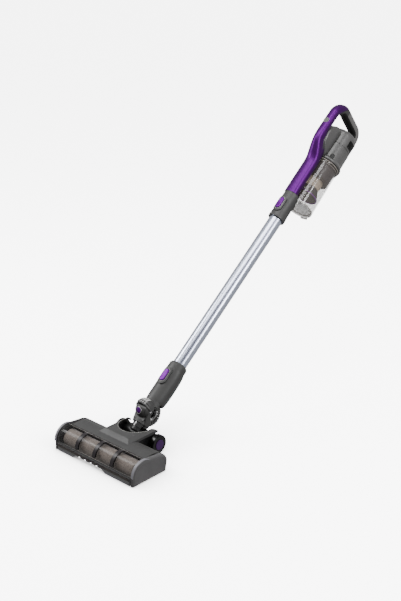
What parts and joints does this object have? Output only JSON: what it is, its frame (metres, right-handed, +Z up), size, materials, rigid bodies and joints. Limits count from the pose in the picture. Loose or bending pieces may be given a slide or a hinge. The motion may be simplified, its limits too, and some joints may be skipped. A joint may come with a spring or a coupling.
{
  "type": "cordless stick vacuum",
  "caption": "Cordless stick vacuum with a motorised roller floor head, swivelling neck, folding elbow, wand tube and a handset with dust bin, motor case and loop handle.",
  "frame": {"origin": "on the floor under the middle of the floor head", "axes": "+X along the brush roll, +Y backwards towards the handset, +Z up"},
  "size_m": [0.26, 0.9641, 0.6826],
  "materials": {
    "graphite": "satin",
    "dark": "satin",
    "cap_grey": "satin",
    "window": "tinted, see-through",
    "lens": "tinted, see-through",
    "led": "gloss",
    "steel": "satin",
    "belt": "matt",
    "bushing": "satin",
    "roll_core": "matt",
    "nap": "short soft nap",
    "pulley": "satin",
    "wheel": "gloss",
    "purple": "metallic gloss lacquer",
    "hub_purple": "gloss",
    "hose": "corrugated",
    "tube": "silver-blue anodised",
    "conduit": "satin",
    "shell": "satin",
    "case": "satin",
    "motor_can": "satin",
    "filter": "pleated",
    "cell": "shrink sleeve",
    "board": "lacquered board",
    "key_grey": "satin",
    "clear_bin": "clear, smoke tinted",
    "shroud": "perforated",
    "beige": "satin",
    "skirt": "satin",
    "seal": "matt",
    "clear_lid": "clear, pink-grey tinted"
  },
  "bodies": {
    "head": {"sole_base": "dark", "head_cover": "graphite", "front_bumper": "graphite", "end_cap_left": "cap_grey", "end_cap_right": "cap_grey", "brush_window": "window", "window_ribs": "dark", "light_lens": "lens", "led_lights": "led", "sole_strip": "nap", "brush_motor": "motor_can", "drive_belt": "belt", "roll_bushings": "bushing", "axle_pins": "steel", "head_screws": "steel"},
    "brush": {"brush_core": "roll_core", "brush_nap": "nap", "brush_pulley": "pulley"},
    "brush_drive": {"motor_pulley": "pulley"},
    "wheel_l": {"wheel_left": "wheel", "hub_left": "hub_purple"},
    "wheel_r": {"wheel_right": "wheel", "hub_right": "hub_purple"},
    "neck": {"neck_drum": "dark", "neck_bellows": "hose"},
    "elbow": {"elbow_yoke": "graphite", "elbow_pin": "steel", "elbow_hose": "hose"},
    "fold_key": {"fold_button": "purple"},
    "arm": {"elbow_arm": "graphite", "arm_spring": "steel"},
    "arm_key": {"arm_button": "purple"},
    "wand": {"wand_tube": "tube", "wand_conduit": "conduit"},
    "handset": {"nose_collar": "graphite", "spine_cover": "purple", "spine_shell": "shell", "handle_grip": "shell", "motor_case": "case", "case_cap": "case", "vent_grilles": "dark", "suction_motor": "motor_can", "exhaust_filter": "filter", "premotor_filter": "filter", "battery_pack": "cell", "control_board": "board", "charge_socket": "dark", "handset_screws": "steel"},
    "collar_key": {"collar_button": "purple"},
    "power_key": {"power_button": "key_grey"},
    "latch_key": {"bin_latch": "dark"},
    "lid_key": {"lid_button": "dark"},
    "fan": {"impeller": "pulley"},
    "bin": {"dust_bin": "clear_bin", "cyclone_shroud": "shroud", "cyclone_tube": "beige", "dust_skirt": "skirt", "bin_seal": "seal"},
    "lid": {"bin_lid": "clear_lid", "lid_seal": "seal"}
  },
  "joints": [
    {"name": "brush_spin", "type": "hinge", "parent": "head", "child": "brush", "pos_m": [0, -0.031, 0.022], "axis": [1, 0, 0], "continuous": true},
    {"name": "drive_spin", "type": "hinge", "parent": "head", "child": "brush_drive", "pos_m": [-0.1225, 0.022, 0.027], "axis": [1, 0, 0], "continuous": true},
    {"name": "wheel_l_spin", "type": "hinge", "parent": "head", "child": "wheel_l", "pos_m": [-0.058, 0.084, 0.0225], "axis": [1, 0, 0], "continuous": true},
    {"name": "wheel_r_spin", "type": "hinge", "parent": "head", "child": "wheel_r", "pos_m": [0.058, 0.084, 0.0225], "axis": [1, 0, 0], "continuous": true},
    {"name": "neck_pitch", "type": "hinge", "parent": "head", "child": "neck", "pos_m": [0, 0.084, 0.0225], "axis": [1, 0, 0], "range_deg": [0, 46]},
    {"name": "neck_swivel", "type": "hinge", "parent": "neck", "child": "elbow", "pos_m": [0, 0.07096, 0.03896], "axis": [0, 0.7837, 0.6211], "range_deg": [-60, 60]},
    {"name": "elbow_fold", "type": "hinge", "parent": "elbow", "child": "arm", "pos_m": [0, 0.10115, 0.08458], "axis": [1, 0, 0], "range_deg": [0, 90], "deforming": ["elbow_hose"]},
    {"name": "fold_release", "type": "slide", "parent": "elbow", "child": "fold_key", "axis": [0, 0.972, -0.2351], "range_m": [0, 0.0015], "stiffness_N_per_m": 400},
    {"name": "arm_release", "type": "slide", "parent": "arm", "child": "arm_key", "axis": [0, 0.6211, -0.7837], "range_m": [0, 0.0025], "stiffness_N_per_m": 400, "deforming": ["arm_spring"]},
    {"name": "wand_pull", "type": "slide", "parent": "arm", "child": "wand", "axis": [0, 0.7837, 0.6211], "range_m": [0, 0.06]},
    {"name": "handset_pull", "type": "slide", "parent": "wand", "child": "handset", "axis": [0, 0.7837, 0.6211], "range_m": [0, 0.06]},
    {"name": "collar_release", "type": "slide", "parent": "handset", "child": "collar_key", "axis": [0, 0.6211, -0.7837], "range_m": [0, 0.002], "stiffness_N_per_m": 400},
    {"name": "power_press", "type": "slide", "parent": "handset", "child": "power_key", "axis": [0, 0.6211, -0.7837], "range_m": [0, 0.0015], "stiffness_N_per_m": 400},
    {"name": "latch_press", "type": "slide", "parent": "handset", "child": "latch_key", "axis": [-0.6691, 0.4616, -0.5824], "range_m": [0, 0.0012], "stiffness_N_per_m": 400},
    {"name": "lid_press", "type": "slide", "parent": "handset", "child": "lid_key", "axis": [0, -0.6211, 0.7837], "range_m": [0, 0.0015], "stiffness_N_per_m": 400},
    {"name": "fan_spin", "type": "hinge", "parent": "handset", "child": "fan", "pos_m": [0, 0.78856, 0.5503], "axis": [0, 0.7837, 0.6211], "continuous": true},
    {"name": "bin_pull", "type": "slide", "parent": "handset", "child": "bin", "axis": [0, 0.6211, -0.7837], "range_m": [0, 0.05]},
    {"name": "lid_open", "type": "hinge", "parent": "bin", "child": "lid", "pos_m": [0, 0.68299, 0.41061], "axis": [1, 0, 0], "range_deg": [0, 100]}
  ],
  "couplings": [
    {"joint": "drive_spin", "follows": "brush_spin", "ratio": 1.8}
  ]
}
